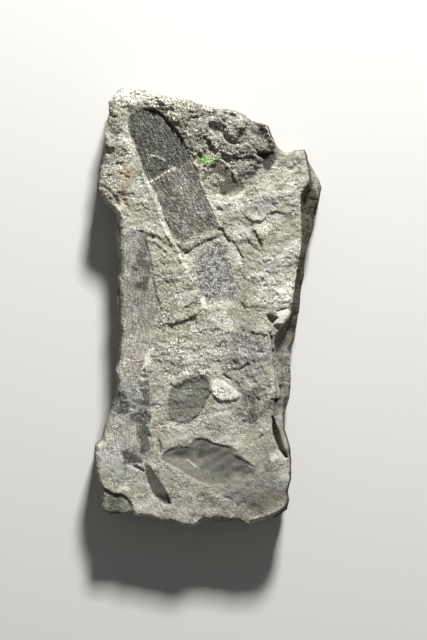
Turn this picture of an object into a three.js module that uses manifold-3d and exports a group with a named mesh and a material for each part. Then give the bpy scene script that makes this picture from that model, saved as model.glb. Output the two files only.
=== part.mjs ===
// Fossil leaf plate: one split slab of grey siltstone that carries the sunk prints of two strap-shaped leaves.
// Millimetres, +Z up. The plate lies on its flat back with the printed face up and its long side along Y.
// The origin is on the resting plane, under the middle of the outline.
import * as THREE from "three";
import { mergeVertices } from "three/addons/utils/BufferGeometryUtils.js";
import Module from "manifold-3d";

// Driving dimensions
const FACE_LEVEL = 27; // height of the bedding plane that the leaves lie on
const BACK_INSET = 4; // how far the flat back stays inside the widest edge
const CUTTER_TOP = 45; // well above every lump of the face
const COLUMNS = 32; // steps of the face's mesh across the plate
const ROWS = 60; // steps of the face's mesh along the plate

// Widest edge of the slab seen from above, clockwise from the top left corner:
// x, y, and how far inside it the brink of the face lies. The right flank slopes out the most.
const OUTLINE = [
  [-38.5, 95.4, 0.6], [-29.2, 94.7, 0.6], [-17, 91.3, 0.6], [-10.8, 90.6, 0.6], [-0.3, 87.3, 0.6],
  [10.6, 85.5, 0.8], [19.1, 81.8, 1], [25.8, 78.7, 1], [27.6, 74, 1], [31.2, 68.6, 0.8],
  [33.1, 67.8, 0.8], [41.7, 68.6, 0.8], [44.1, 63.5, 1.8], [48.6, 56.9, 5.6], [49.9, 53, 7.8],
  [48.6, 46.4, 9], [45.5, 33.1, 5.6], [43.1, 26.8, 3], [42.1, 20.5, 3], [41.9, 14.1, 3.9],
  [40.7, 9, 3.5], [39.5, -3.3, 3.9], [37.7, -14.4, 9], [36.1, -18.8, 7.8], [35.8, -25.1, 6.9],
  [36.4, -31.1, 6.5], [35.6, -39.3, 6], [33.6, -45.7, 4.8], [33.2, -52.8, 4.3], [35.4, -60.2, 4.5],
  [36.1, -66.6, 1.7], [35.8, -74.4, 0.8], [34.4, -79.8, 0.8], [35, -83.5, 1], [34.1, -87.6, 1.3],
  [28.6, -92, 1.7], [22.3, -93.4, 1.3], [17.4, -95.3, 1], [13.2, -93.2, 1], [5.4, -92.9, 1],
  [-2.8, -93.2, 1], [-5.6, -95.4, 1], [-10.5, -95.4, 1], [-14.3, -93.8, 1], [-20, -93.7, 1],
  [-25.5, -91.1, 1], [-30, -91.3, 1], [-33.2, -90.4, 1], [-42.6, -90.4, 1], [-45.8, -88.8, 1],
  [-47.1, -87.2, 1], [-46.8, -82.4, 1], [-47.5, -76.8, 1], [-49.2, -72.7, 1], [-49.9, -65.7, 1],
  [-49.5, -59.4, 1], [-47.1, -57.5, 1], [-45.7, -52.8, 1], [-42.2, -43.5, 1], [-40.2, -37.5, 1],
  [-40.2, -32.1, 1], [-40.9, -27.9, 1], [-39.5, -23.1, 1], [-39, -17.8, 1], [-38.3, -10.7, 0.8],
  [-39.2, -5.5, 1], [-40.7, 2.5, 2.6], [-40.1, 11.4, 1.6], [-38.5, 19.2, 0.8], [-40.1, 25.4, 1.6],
  [-40.8, 32.1, 2.8], [-40.5, 38.6, 2], [-40.9, 41.3, 1.3], [-45.2, 45.3, 1], [-48.4, 48.6, 1],
  [-48.7, 51.7, 1], [-48.5, 55.2, 1], [-46.9, 61.6, 1], [-45.5, 66.6, 1], [-45.9, 71.6, 1],
  [-45.7, 78, 1], [-43.8, 83.3, 1], [-43.8, 86, 1], [-43.7, 89.7, 1], [-40.8, 92.7, 0.8],
];
const CORNERS = [0, 11, 34, 49]; // top left, top right, bottom right and bottom left

// Flank from the brink down to the back: share of the brink's height, share of the inset (or, below the
// widest edge, of the back's inset), and how far the broken stone swings in and out there.
// The upper bed stands steep, a ledge marks its foot, and the lower bed bulges out and turns under.
const FLANK = [
  { height: 0.86, inset: 0.92, rough: 0.6 },
  { height: 0.64, inset: 0.62, rough: 1 },
  { height: 0.55, inset: 0.25, rough: 0.7 },
  { height: 0.34, inset: 0, rough: 0 },
  { height: 0.2, backInset: 0.2, rough: 0.7 },
  { height: 0.09, backInset: 0.45, rough: 0.9 },
  { height: 0, backInset: 1, rough: 1.2 },
];
const FLANK_LUMP_LENGTH = 8;

// Beds and hollows of the face, as outlines in x, y.
const BROKEN_BED = [
  [-18.4, 100], [14, 100], [40, 86], [37, 72], [28.7, 64.1], [23.9, 59.8], [15.1, 52.4], [6.7, 50.3],
  [-1.6, 53.3], [-5.9, 61.7], [-9.3, 68.6], [-14.8, 76.9],
];
const BROKEN_BED_RISE = 2.6;
const BROKEN_BED_LUMP = 1.3;
const BROKEN_HOLLOWS = [
  [[2.3, 60.2], [6.7, 61.9], [9.7, 58.5], [15.3, 52.4], [12, 47], [5, 47]],
  [[22.2, 61.1], [23.1, 65.4], [26.5, 67.1], [31, 64.5], [28, 57], [24.8, 57]],
];
const BROKEN_HOLLOW_DROP = 1.8;
const CAP = [[-50, 96], [-20, 96], [-14, 80], [-27, 90], [-36, 84], [-36, 74], [-31, 62], [-36, 50], [-50, 44]];
const CAP_RISE = 1.6;
const CENTRE_BED = [
  [-22, 24], [-10, 20], [-3.7, 1.9], [-8, -5], [-13.2, -10.6], [-17.5, -14.1], [-21.9, -16.2], [-22.5, 0],
];
const CENTRE_BED_RISE = 1.3;
const SCOOP = [
  [-20.3, -64.5], [-10.6, -58.6], [-2, -56.4], [11.8, -59.9], [18.7, -65.1], [22.2, -71], [17.9, -76.3],
  [4.1, -77.6], [-9.3, -72.4],
];
const SCOOP_DEPTH = 3.4;
const SCOOP_RUN = 9; // distance from the scoop's lip to its full depth
const SUNK_CORNER = [[-55, -74], [-46.5, -77.4], [-38.6, -80.8], [-32.7, -84.9], [-31.4, -99], [-55, -99]];
const SUNK_CORNER_DROP = 3;
const RIGHT_SHOULDER = [[26, -11], [30, -8], [45, -8], [45, -62], [33, -62], [27.5, -48], [28, -25]];
const SHOULDER_DROP = 3;
const LEDGE_RUN = 2.4; // width of a ledge's slope in the face's mesh
const BRINK_ROUNDING = 1.4; // how far the face dips at its brink
const BRINK_RUN = 3.5;
const SWELL = 0.7; // height of the face's broad waves
const SWELL_LENGTH = 34;
const LUMP_LENGTH = 7;

// Sunk prints and pits with steep walls: outline, and height of the floor.
const LEAF_PRINT = [
  [-27.5, 86.1], [-20.3, 84.4], [-14.8, 76.9], [-9.3, 68.6], [-5.9, 61.7], [-2.4, 53.5], [1.7, 43.1],
  [3.8, 34.3], [-4.1, 30.6], [-11.9, 27.2], [-19, 38.3], [-23.8, 47.9], [-27.9, 55.5], [-30.7, 67.9],
  [-34.5, 75.5], [-34.8, 82.2], [-31.8, 85.1],
];
const LEAF_TIP = [
  [-27.5, 85.6], [-20.6, 83.9], [-15.2, 76.6], [-9.8, 68.4], [-8, 64], [-14.8, 60.3], [-25.6, 53.7],
  [-27.5, 56], [-30.3, 68], [-34, 75.6], [-34.3, 82], [-31.6, 84.6],
];
const LEAF_FOOT = [
  [-9.3, 22.2], [-3.3, 25.7], [4.4, 32.2], [9.2, 27], [14.4, 14], [16.5, 6], [18, -3], [8, -4], [-1.6, 3.2],
  [-4.1, 12.3], [-5.9, 18.7],
];
const SIDE_LEAF = [
  [-36.8, 26.5], [-26.2, 26.3], [-25.1, 20.3], [-22.8, 7.7], [-22.7, -1.1], [-25.1, -16.7], [-26.6, -30],
  [-24.9, -39.6], [-25.3, -46.5], [-26.6, -65.1], [-36.5, -68], [-45, -64], [-43.6, -53], [-38.2, -37],
  [-37.4, -18.4], [-36.6, -5.4], [-36.6, 9.7],
];
const OVAL_PIT = [[-16.2, -33.1], [-5.4, -29.6], [-0.7, -29.6], [1, -34.8], [-4.1, -44], [-10, -47], [-16.7, -44]];
const SLOT = [
  [-27.2, -68.1], [-24.9, -68.5], [-21, -75.3], [-17.2, -81.5], [-16, -85.4], [-19, -84.5], [-21.4, -81.5],
  [-23.8, -81.2], [-25.8, -76.7],
];
const CHIP_HOLE = [[25.4, -3.3], [29.8, -4.6], [27, -7.2]];
const CREVICE = [[27.2, -47], [28.4, -47.5], [30.6, -56], [34.4, -64.5], [33.4, -65.5], [28.6, -58]];
const SUNK = [
  [LEAF_PRINT, FACE_LEVEL - 1.1],
  [LEAF_TIP, FACE_LEVEL - 1.7],
  [LEAF_FOOT, FACE_LEVEL - 1.5],
  [SIDE_LEAF, FACE_LEVEL - 1.3],
  [OVAL_PIT, FACE_LEVEL - 2.6],
  [SLOT, FACE_LEVEL - 4.5],
  [CHIP_HOLE, FACE_LEVEL - 5],
  [CREVICE, FACE_LEVEL - 9],
];

// A repeatable number from -1 to 1 for each whole-number place.
function hash(i, j) {
  let n = Math.imul(i, 374761393) + Math.imul(j, 668265263);
  n = Math.imul(n ^ (n >>> 13), 1274126177);
  return ((n ^ (n >>> 16)) >>> 0) / 2147483648 - 1;
}

// Smooth value noise from -1 to 1: hashed lattice values, blended by smoothstep across each cell.
function noise(x, y) {
  const i = Math.floor(x);
  const j = Math.floor(y);
  const u = THREE.MathUtils.smoothstep(x - i, 0, 1);
  const v = THREE.MathUtils.smoothstep(y - j, 0, 1);
  const near = THREE.MathUtils.lerp(hash(i, j), hash(i + 1, j), u);
  const far = THREE.MathUtils.lerp(hash(i, j + 1), hash(i + 1, j + 1), u);
  return THREE.MathUtils.lerp(near, far, v);
}

// Distance from a point to a closed outline, positive inside it.
function depthInside(outline, x, y) {
  let nearest = Infinity;
  let inside = false;
  outline.forEach(([ax, ay], k) => {
    const [bx, by] = outline[(k + 1) % outline.length];
    const along = ((x - ax) * (bx - ax) + (y - ay) * (by - ay)) / ((bx - ax) ** 2 + (by - ay) ** 2);
    const t = THREE.MathUtils.clamp(along, 0, 1);
    nearest = Math.min(nearest, Math.hypot(x - ax - t * (bx - ax), y - ay - t * (by - ay)));
    if (ay > y !== by > y && x < ax + ((y - ay) / (by - ay)) * (bx - ax)) inside = !inside;
  });
  return inside ? nearest : -nearest;
}

// 0 outside a bed's outline, 1 inside it, with a slope as wide as a ledge.
const bed = (outline, x, y) =>
  THREE.MathUtils.smoothstep(depthInside(outline, x, y), -LEDGE_RUN / 2, LEDGE_RUN / 2);

// Height of the face before the prints are cut: broad waves, raised and sunk beds, and the hollow scoop.
function faceHeight(x, y, fromBrink) {
  const swell = SWELL * noise(x / SWELL_LENGTH + 3.3, y / SWELL_LENGTH);
  const lump = noise(x / LUMP_LENGTH, y / LUMP_LENGTH + 9.1);
  const broken = bed(BROKEN_BED, x, y);
  const hollow = Math.max(...BROKEN_HOLLOWS.map((outline) => bed(outline, x, y)));
  const scoop = THREE.MathUtils.smoothstep(depthInside(SCOOP, x, y), -1, SCOOP_RUN);
  const brink = 1 - THREE.MathUtils.smoothstep(fromBrink, 0, BRINK_RUN);
  return (
    FACE_LEVEL + swell + 0.3 * lump +
    broken * (BROKEN_BED_RISE + BROKEN_BED_LUMP * lump - BROKEN_HOLLOW_DROP * hollow) +
    CAP_RISE * bed(CAP, x, y) +
    CENTRE_BED_RISE * bed(CENTRE_BED, x, y) -
    SCOOP_DEPTH * scoop -
    SUNK_CORNER_DROP * bed(SUNK_CORNER, x, y) -
    SHOULDER_DROP * bed(RIGHT_SHOULDER, x, y) -
    BRINK_ROUNDING * brink * brink
  );
}

// Points at equal steps along the outline from one corner to the next, each [x, y, inset].
function sideOf(corner, steps) {
  const first = CORNERS[corner];
  const last = CORNERS[(corner + 1) % CORNERS.length] || OUTLINE.length;
  const stretch = OUTLINE.slice(first, last).concat([OUTLINE[last % OUTLINE.length]]);
  const lengths = [0];
  for (let k = 1; k < stretch.length; k++) {
    const [ax, ay] = stretch[k - 1];
    const [bx, by] = stretch[k];
    lengths.push(lengths[k - 1] + Math.hypot(bx - ax, by - ay));
  }
  return Array.from({ length: steps }, (_, step) => {
    const wanted = (step / steps) * lengths.at(-1);
    const k = Math.max(1, lengths.findIndex((l) => l > wanted));
    const t = (wanted - lengths[k - 1]) / (lengths[k] - lengths[k - 1]);
    return stretch[k].map((b, axis) => THREE.MathUtils.lerp(stretch[k - 1][axis], b, t));
  });
}

const rim = [COLUMNS, ROWS, COLUMNS, ROWS].flatMap((steps, corner) => sideOf(corner, steps));

// The rim moved inwards, square to its own run, by a distance that depends on the station.
function insetLoop(distance) {
  const count = rim.length;
  return rim.map(([x, y, inset], k) => {
    const before = rim[(k + count - 2) % count];
    const after = rim[(k + 2) % count];
    const run = Math.hypot(after[0] - before[0], after[1] - before[1]);
    const share = distance(x, y, inset) / run;
    return [x + (after[1] - before[1]) * share, y - (after[0] - before[0]) * share];
  });
}

const brink = insetLoop((x, y, inset) => inset);

// One row of the flank, never outside the widest edge.
function flankLoop({ height, inset = 0, backInset = 0, rough }) {
  const swing = (x, y) => rough * noise(x / FLANK_LUMP_LENGTH + 50 * height, y / FLANK_LUMP_LENGTH);
  return insetLoop((x, y, reach) => Math.max(0, inset * reach + backInset * BACK_INSET + swing(x, y)));
}

// Loop index of a place on the border of the face's mesh, or -1 inside it.
function loopIndex(column, row) {
  if (row === 0) return column;
  if (column === COLUMNS) return COLUMNS + row;
  if (row === ROWS) return 2 * COLUMNS + ROWS - column;
  if (column === 0) return (2 * COLUMNS + 2 * ROWS - row) % rim.length;
  return -1;
}

// Face point between the four sides of the brink: the blend of opposite sides less the blend of the corners.
function facePoint(column, row) {
  const u = column / COLUMNS;
  const v = row / ROWS;
  const at = (c, r) => brink[loopIndex(c, r)];
  return [0, 1].map(
    (axis) =>
      (1 - v) * at(column, 0)[axis] + v * at(column, ROWS)[axis] +
      (1 - u) * at(0, row)[axis] + u * at(COLUMNS, row)[axis] -
      (1 - u) * (1 - v) * at(0, 0)[axis] - u * (1 - v) * at(COLUMNS, 0)[axis] -
      (1 - u) * v * at(0, ROWS)[axis] - u * v * at(COLUMNS, ROWS)[axis],
  );
}

const wasm = await Module();
wasm.setup();

// A closed mesh of positions and triangle indexes as a solid.
const solidFrom = (positions, triangles) =>
  new wasm.Manifold(
    new wasm.Mesh({
      numProp: 3,
      vertProperties: new Float32Array(positions),
      triVerts: new Uint32Array(triangles),
    }),
  );

// The uncut slab: face mesh, flank rows below its border, and the flat back.
function slab() {
  const positions = [];
  const triangles = [];
  const border = [];
  const point = (index) => new THREE.Vector3().fromArray(positions, 3 * index);
  // Two triangles on the shorter diagonal, so that slanted cells make no saw teeth.
  const quad = (a, b, c, d) => {
    const split = point(a).distanceTo(point(c)) <= point(b).distanceTo(point(d));
    triangles.push(...(split ? [a, b, c, a, c, d] : [a, b, d, b, c, d]));
  };
  for (let row = 0; row <= ROWS; row++) {
    for (let column = 0; column <= COLUMNS; column++) {
      const [x, y] = facePoint(column, row);
      const k = loopIndex(column, row);
      if (k >= 0) border[k] = positions.length / 3;
      positions.push(x, y, faceHeight(x, y, k >= 0 ? 0 : depthInside(brink, x, y)));
    }
  }
  const width = COLUMNS + 1;
  for (let row = 0; row < ROWS; row++) {
    for (let column = 0; column < COLUMNS; column++) {
      const corner = row * width + column;
      quad(corner, corner + width, corner + width + 1, corner + 1);
    }
  }
  let above = border;
  FLANK.forEach((flankRow) => {
    const below = flankLoop(flankRow).map(([x, y], k) => {
      positions.push(x, y, flankRow.height * positions[3 * border[k] + 2]);
      return positions.length / 3 - 1;
    });
    below.forEach((_, k) => {
      const next = (k + 1) % below.length;
      quad(above[k], above[next], below[next], below[k]);
    });
    above = below;
  });
  const back = above.map((k) => new THREE.Vector2(positions[3 * k], positions[3 * k + 1]));
  THREE.ShapeUtils.triangulateShape(back, []).forEach(([a, b, c]) => {
    const turn = back[b].clone().sub(back[a]).cross(back[c].clone().sub(back[a]));
    triangles.push(above[a], above[turn > 0 ? c : b], above[turn > 0 ? b : c]);
  });
  return solidFrom(positions, triangles);
}

// A straight-sided cutter over an outline, from the floor of a print up to clear air.
function cutter(outline, floor) {
  const shape = new THREE.Shape(outline.map(([x, y]) => new THREE.Vector2(x, y)));
  const geometry = new THREE.ExtrudeGeometry(shape, { depth: CUTTER_TOP - floor, bevelEnabled: false });
  geometry.translate(0, 0, floor);
  geometry.deleteAttribute("normal");
  geometry.deleteAttribute("uv");
  const merged = mergeVertices(geometry);
  return solidFrom(merged.attributes.position.array, merged.index.array);
}

// The plate: the slab with its prints and pits cut in.
function plate() {
  const solid = SUNK.reduce((left, [outline, floor]) => left.subtract(cutter(outline, floor)), slab());
  const { vertProperties, triVerts } = solid.getMesh();
  const geometry = new THREE.BufferGeometry();
  geometry.setAttribute("position", new THREE.BufferAttribute(vertProperties, 3));
  geometry.setIndex(new THREE.BufferAttribute(triVerts, 1));
  geometry.computeVertexNormals();
  const siltstone = new THREE.MeshStandardMaterial({ color: 0xaaa799, roughness: 0.92, metalness: 0 });
  const mesh = new THREE.Mesh(geometry, siltstone);
  mesh.name = "plate";
  return mesh;
}

const fossilLeafPlate = new THREE.Group();
fossilLeafPlate.add(plate());

export default fossilLeafPlate;
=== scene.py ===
"""Looks of the fossil leaf plate: a slab of split siltstone with sunk leaf prints, face up on a pale floor.

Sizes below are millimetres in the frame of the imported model, and are turned to metres where a mesh is made.
"""

import bpy
import numpy as np
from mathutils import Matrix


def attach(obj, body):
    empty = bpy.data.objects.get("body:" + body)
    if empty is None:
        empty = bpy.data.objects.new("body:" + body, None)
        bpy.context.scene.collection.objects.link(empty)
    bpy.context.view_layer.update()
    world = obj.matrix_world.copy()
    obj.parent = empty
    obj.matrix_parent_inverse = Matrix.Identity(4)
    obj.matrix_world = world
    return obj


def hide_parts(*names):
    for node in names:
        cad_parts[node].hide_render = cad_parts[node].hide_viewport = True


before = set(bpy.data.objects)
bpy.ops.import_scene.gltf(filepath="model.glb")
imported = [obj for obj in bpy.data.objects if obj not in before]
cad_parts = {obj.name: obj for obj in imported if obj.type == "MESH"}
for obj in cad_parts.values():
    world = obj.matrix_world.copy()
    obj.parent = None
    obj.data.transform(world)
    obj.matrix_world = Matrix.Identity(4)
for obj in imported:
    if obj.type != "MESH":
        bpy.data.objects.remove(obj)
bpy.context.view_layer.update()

# Plate
# One slab of grey siltstone, split along its bedding, with sunk prints of strap-shaped leaves on its face.
# The prints are the rock's own surface, with a thin dark film of old plant matter left on them.
# Its rim is broken stone, and it lies loose on a cleaved, nearly flat back.
MM = 0.001
FACE_LEVEL = 27.0
BACK_INSET = 4.0
FACE_COLUMNS = 180
FACE_ROWS = 344
FACE_STEP = 0.53  # between neighbouring points of the face
FLANK_ROWS = 28
BACK_STEP = 4  # one step of the back's mesh spans this many steps of the face's

# Widest edge seen from above, clockwise from the top left corner: x, y, and how far inside it the brink is
OUTLINE = np.array([
    (-38.5, 95.4, 0.6), (-29.2, 94.7, 0.6), (-17, 91.3, 0.6), (-10.8, 90.6, 0.6), (-0.3, 87.3, 0.6),
    (10.6, 85.5, 0.8), (19.1, 81.8, 1), (25.8, 78.7, 1), (27.6, 74, 1), (31.2, 68.6, 0.8),
    (33.1, 67.8, 0.8), (41.7, 68.6, 0.8), (44.1, 63.5, 1.8), (48.6, 56.9, 5.6), (49.9, 53, 7.8),
    (48.6, 46.4, 9), (45.5, 33.1, 5.6), (43.1, 26.8, 3), (42.1, 20.5, 3), (41.9, 14.1, 3.9), (40.7, 9, 3.5),
    (39.5, -3.3, 3.9), (37.7, -14.4, 9), (36.1, -18.8, 7.8), (35.8, -25.1, 6.9), (36.4, -31.1, 6.5),
    (35.6, -39.3, 4.5), (33.6, -45.7, 1.5), (33.2, -52.8, 0.8), (35.4, -60.2, 0.8), (36.1, -66.6, 0.8),
    (35.8, -74.4, 0.8), (34.4, -79.8, 0.8), (35, -83.5, 1), (34.1, -87.6, 1.3), (28.6, -92, 1.7),
    (22.3, -93.4, 1.3), (17.4, -95.3, 1), (13.2, -93.2, 1), (5.4, -92.9, 1), (-2.8, -93.2, 1),
    (-5.6, -95.4, 1), (-10.5, -95.4, 1), (-14.3, -93.8, 1), (-20, -93.7, 1), (-25.5, -91.1, 1),
    (-30, -91.3, 1), (-33.2, -90.4, 1), (-42.6, -90.4, 1), (-45.8, -88.8, 1), (-47.1, -87.2, 1),
    (-46.8, -82.4, 1), (-47.5, -76.8, 1), (-49.2, -72.7, 1), (-49.9, -65.7, 1), (-49.5, -59.4, 1),
    (-47.1, -57.5, 1), (-45.7, -52.8, 1), (-42.2, -43.5, 1), (-40.2, -37.5, 1), (-40.2, -32.1, 1),
    (-40.9, -27.9, 1), (-39.5, -23.1, 1), (-39, -17.8, 1), (-38.3, -10.7, 0.8), (-39.2, -5.5, 1),
    (-40.7, 2.5, 2.6), (-40.1, 11.4, 1.6), (-38.5, 19.2, 0.8), (-40.1, 25.4, 1.6), (-40.8, 32.1, 2.8),
    (-40.5, 38.6, 2), (-40.9, 41.3, 1.3), (-45.2, 45.3, 1), (-48.4, 48.6, 1), (-48.7, 51.7, 1),
    (-48.5, 55.2, 1), (-46.9, 61.6, 1), (-45.5, 66.6, 1), (-45.9, 71.6, 1), (-45.7, 78, 1),
    (-43.8, 83.3, 1), (-43.8, 86, 1), (-43.7, 89.7, 1), (-40.8, 92.7, 0.8),
])
CORNERS = (0, 11, 34, 49, len(OUTLINE))  # top left, top right, bottom right, bottom left, and round again

# Flank from the brink down to the back: shares of the height, of the brink's inset and of the back's inset
FLANK_PROFILE = np.array([
    (1, 1, 0), (0.86, 0.92, 0), (0.64, 0.62, 0), (0.55, 0.25, 0), (0.34, 0, 0), (0.2, 0, 0.2),
    (0.09, 0, 0.45), (0, 0, 1),
])


def hashed(i, j, seed):
    """A repeatable number from -1 to 1 for each whole place: multiplied, shifted, masked to 32 bits."""
    mixed = (i.astype(np.int64) * 374761393 + j.astype(np.int64) * 668265263 + seed * 974634777) & 0xFFFFFFFF
    mixed = ((mixed ^ (mixed >> 13)) * 1274126177) & 0xFFFFFFFF
    return (mixed ^ (mixed >> 16)) / 2147483648.0 - 1.0


def noise(x, y, seed):
    """Gradient noise from about -1 to 1: a hashed slope at each whole place, blended by the quintic step."""
    i, j = np.floor(x), np.floor(y)
    u, v = x - i, y - j

    def slope_at(right, up):
        angle = np.pi * hashed(i + right, j + up, seed)
        return np.cos(angle) * (u - right) + np.sin(angle) * (v - up)

    across, along = (t * t * t * (t * (6 * t - 15) + 10) for t in (u, v))
    low = slope_at(0, 0) * (1 - across) + slope_at(1, 0) * across
    high = slope_at(0, 1) * (1 - across) + slope_at(1, 1) * across
    return 1.5 * (low * (1 - along) + high * along)


def rough(x, y, length, seed, octaves=4, keep=0.5):
    """Fractal noise: octaves of noise, each half as long, turned, and keep times as high as the last."""
    total = np.zeros_like(x)
    for octave in range(octaves):
        turn = 0.7 + 1.9 * octave
        stretch_by = 2.0**octave / length
        turned_x = (np.cos(turn) * x + np.sin(turn) * y) * stretch_by
        turned_y = (np.cos(turn) * y - np.sin(turn) * x) * stretch_by
        total += keep**octave * noise(turned_x, turned_y, seed + octave)
    return total


def facets(x, y, length, seed, tilt=1.3):
    """Broken stone: cells nearest to scattered points, each a flat with a height and tilt of its own."""
    px, py = x / length, y / length
    i, j = np.floor(px), np.floor(py)
    nearest = np.full_like(px, np.inf)
    height = np.zeros_like(px)
    for right in (-1, 0, 1):
        for up in (-1, 0, 1):
            ci, cj = i + right, j + up
            dx = px - ci - 0.5 - 0.45 * hashed(ci, cj, seed)
            dy = py - cj - 0.5 - 0.45 * hashed(ci, cj, seed + 1)
            distance = dx * dx + dy * dy
            slope = dx * hashed(ci, cj, seed + 3) + dy * hashed(ci, cj, seed + 4)
            flat = hashed(ci, cj, seed + 2) + tilt * slope
            height = np.where(distance < nearest, flat, height)
            nearest = np.minimum(nearest, distance)
    return height


def step(value, low, high):
    """0 below low, 1 above high, and the smooth cubic between them."""
    t = np.clip((value - low) / (high - low), 0, 1)
    return t * t * (3 - 2 * t)


def from_path(path, x, y):
    """Least distance from each point to the straight stretches of a path."""
    nearest = np.full_like(x, np.inf)
    for (ax, ay), (bx, by) in zip(path[:-1], path[1:]):
        squared = (bx - ax) ** 2 + (by - ay) ** 2
        t = np.clip(((x - ax) * (bx - ax) + (y - ay) * (by - ay)) / squared, 0, 1)
        nearest = np.minimum(nearest, np.hypot(x - ax - t * (bx - ax), y - ay - t * (by - ay)))
    return nearest


def within(outline, x, y):
    """Distance to a closed outline, positive inside: its sign turns where a rightward ray crosses an edge."""
    closed = list(outline) + [outline[0]]
    inside = np.zeros(x.shape, bool)
    for (ax, ay), (bx, by) in zip(closed[:-1], closed[1:]):
        if ay != by:
            inside ^= ((ay > y) != (by > y)) & (x < ax + (y - ay) / (by - ay) * (bx - ax))
    nearest = from_path(closed, x, y)
    return np.where(inside, nearest, -nearest)


def rim_points():
    """Equal steps along the outline from each corner to the next, each x, y and inset."""
    sides = []
    for first, last, steps in zip(CORNERS[:-1], CORNERS[1:], (FACE_COLUMNS, FACE_ROWS) * 2):
        run = OUTLINE[np.arange(first, last + 1) % len(OUTLINE)]
        length = np.concatenate(([0], np.cumsum(np.hypot(*np.diff(run[:, :2], axis=0).T))))
        wanted = np.arange(steps) / steps * length[-1]
        sides.append(np.stack([np.interp(wanted, length, run[:, axis]) for axis in range(3)], 1))
    return np.concatenate(sides)


def inward_of(loop, reach=10):
    """Unit vector to the inside of a clockwise loop: its run over a few points, turned to the right."""
    run = np.roll(loop, -reach, 0) - np.roll(loop, reach, 0)
    run /= np.linalg.norm(run, axis=1, keepdims=True)
    return np.stack([run[:, 1], -run[:, 0]], 1)


def between_sides(loop, columns, rows):
    """Grid between the four sides of a loop: the blend of opposite sides, less the blend of the corners."""
    top = loop[: columns + 1]
    right = loop[columns : columns + rows + 1]
    bottom = loop[columns + rows : 2 * columns + rows + 1][::-1]
    left = np.concatenate([loop[2 * columns + rows :], loop[:1]])[::-1]
    u = np.linspace(0, 1, columns + 1)[None, :, None]
    v = np.linspace(0, 1, rows + 1)[:, None, None]
    sides = (1 - v) * top[None] + v * bottom[None] + (1 - u) * left[:, None] + u * right[:, None]
    upper = (1 - u) * (1 - v) * top[0] + u * (1 - v) * top[-1]
    lower = (1 - u) * v * bottom[0] + u * v * bottom[-1]
    return sides - upper - lower


# Forms of the face, each an outline seen from above
BROKEN_BED = [
    (-30, 100), (14, 100), (40, 86), (37, 72), (31, 67.5), (29.2, 64.6), (26, 60), (22, 57.5), (15.8, 52.2),
    (10.5, 50), (6.7, 49.8), (2.8, 51), (-1.6, 52.5), (-8, 57), (-14, 66), (-22, 78), (-30, 88),
]
HOLLOWS = [
    [
        (-2.6, 54), (-2.4, 56.4), (0, 58.8), (2, 60.2), (3.6, 61.6), (6.5, 60.7), (9.6, 59.6), (10.6, 57),
        (11, 54.6), (13, 53.2), (15.8, 52.4), (13, 49), (5, 49), (4.6, 51.6), (6.6, 53), (7, 55), (5, 57.4),
        (3, 58.4), (0, 57),
    ],
    [
        (20.8, 66), (23, 67.2), (27.5, 67.2), (29.4, 64.8), (28, 62), (26, 59.6), (23.8, 59.8), (23.4, 62),
        (23.8, 64),
    ],
]
CAP = [
    (-55, 100), (-12, 100), (-12, 88), (-14, 79), (-19, 83.5), (-23, 88), (-32, 87), (-37, 83), (-37, 74),
    (-32.5, 66), (-36, 50), (-55, 44),
]
CENTRE_BED = [
    (-22, 20), (-14, 22), (-8, 14), (-4.5, 8), (-3.4, 0), (-4.6, -2.2), (-9, -4.8), (-13, -6), (-18, -7.4),
    (-22, -6),
]
SCOOP = [
    (-20.8, -66), (-20, -63.5), (-18, -62), (-16, -60.7), (-13, -60.2), (-9, -60), (-7, -58.3),
    (-5.5, -56.8), (-4, -56.3), (-1, -57), (2, -58.5), (6, -59.3), (10, -60.4), (13, -63.4), (17, -67),
    (21, -70.5), (20, -74), (14, -77.5), (6, -79), (0, -77), (-4, -75.5), (-7, -74), (-10, -72),
    (-13.5, -70), (-17, -68),
]
STRIATED = [
    (-20.8, -66), (-16, -60.7), (-9, -60), (-4, -56.3), (2, -58.5), (10, -60.4), (15, -63.5), (20, -69),
    (26, -73), (40, -74), (40, -88), (24, -91), (14, -86), (6, -81), (0, -77), (-10, -72),
]
SUNK_CORNER = [
    (-55, -75), (-46.5, -77.7), (-43.5, -79.2), (-41, -80.5), (-38, -80.6), (-35, -82), (-33, -85.5),
    (-32.3, -99), (-55, -99),
]
RIGHT_SHOULDER = [
    (25.5, -11), (30, -8), (45, -8), (45, -47), (29, -47), (29.5, -36), (29.5, -27), (28, -18),
]
SLIVER = [(28, -40), (40, -36), (40, -66), (34.4, -66), (32.4, -60.5), (30.6, -55), (28.6, -49.5)]
LENS = [
    (15.5, 47), (22, 49), (30, 50.5), (37, 50), (38, 43), (34.5, 40.2), (31, 41.4), (27, 41.2),
    (22.5, 37.4), (19, 37.6), (16, 39.6),
]

# Leaf prints
LEAF = [
    (-31.5, 85), (-27.5, 86.1), (-24, 85.9), (-21, 84.5), (-17.5, 81), (-14.5, 77.6), (-11.5, 73.2),
    (-9.3, 68.6), (-5.9, 61.7), (-3, 54), (0.5, 45.5), (3.4, 37.5), (4.2, 34.5), (-0.5, 33), (-6, 31),
    (-11.9, 28), (-14.8, 30.7), (-19, 38.3), (-23.3, 47), (-25.5, 53.5), (-27.5, 57.5), (-29.3, 62.5),
    (-30.2, 66), (-31.8, 70), (-33.6, 73.5), (-34.8, 77), (-35, 80), (-34, 82.5),
]
LEAF_TIP = [
    (-30, 92), (-12, 88), (-6, 64.6), (-14, 60.8), (-17, 59.4), (-20, 57.8), (-23, 55.8), (-25.6, 54.4),
    (-30, 52), (-40, 70),
]
STRIP = [
    (-12.4, 27.4), (-6, 31), (-0.5, 33), (4, 34.6), (5.5, 33.4), (2.8, 30.4), (-2, 28.6), (-6, 26.6),
    (-9.6, 23.6), (-11.6, 24.6),
]
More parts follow.
